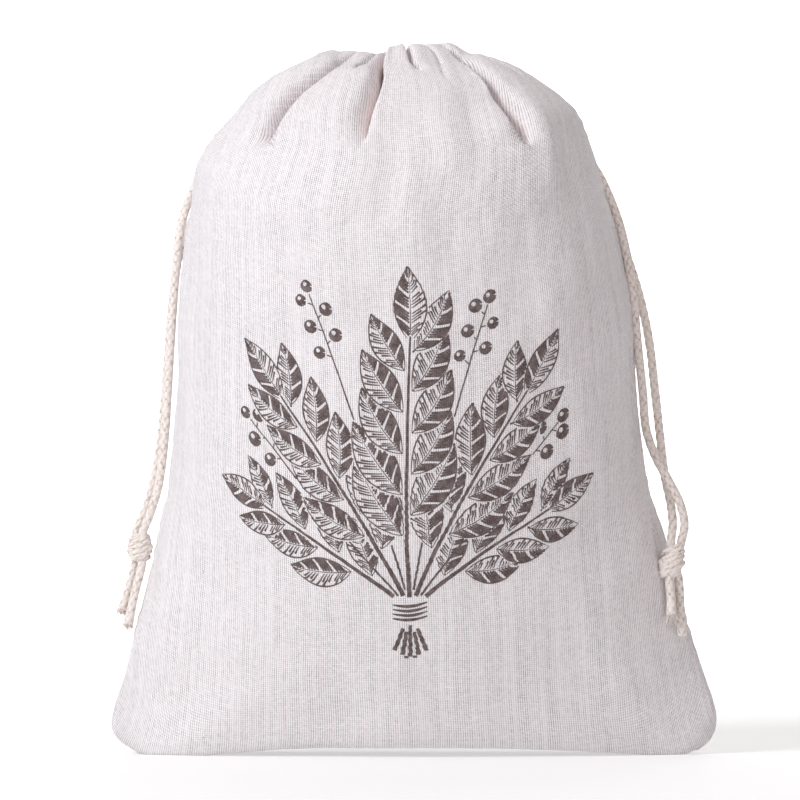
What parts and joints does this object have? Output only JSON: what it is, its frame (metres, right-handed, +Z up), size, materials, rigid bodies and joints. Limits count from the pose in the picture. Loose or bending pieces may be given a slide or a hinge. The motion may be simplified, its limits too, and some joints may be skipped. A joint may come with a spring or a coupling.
{
  "type": "linen bread bag",
  "caption": "Filled upright linen drawstring bag with gathered top, side cords tied in knots, rounded lower corners and a leaf print.",
  "frame": {"origin": "centre of the cloth bag's bounding box, on the surface it stands on; the free cords are left out of that box", "axes": "+Z up, the printed front faces -Y, +X to the viewer's right"},
  "size_m": [0.3008, 0.1606, 0.3524],
  "materials": {
    "printed_linen": "natural off-white linen with a brown-grey leaf print",
    "linen": "natural off-white plain-woven linen, matte",
    "cotton_cord": "braided cream cotton cord, matte"
  },
  "bodies": {
    "root": {"front_panel": "printed_linen", "back_panel": "linen", "cord_left_front": "cotton_cord", "cord_left_rear": "cotton_cord", "knot_left": "cotton_cord", "tail_left_front": "cotton_cord", "tail_left_rear": "cotton_cord", "cord_right_inner": "cotton_cord", "cord_right_outer": "cotton_cord", "knot_right": "cotton_cord", "tail_right_inner": "cotton_cord", "tail_right_outer": "cotton_cord"}
  },
  "joints": []
}
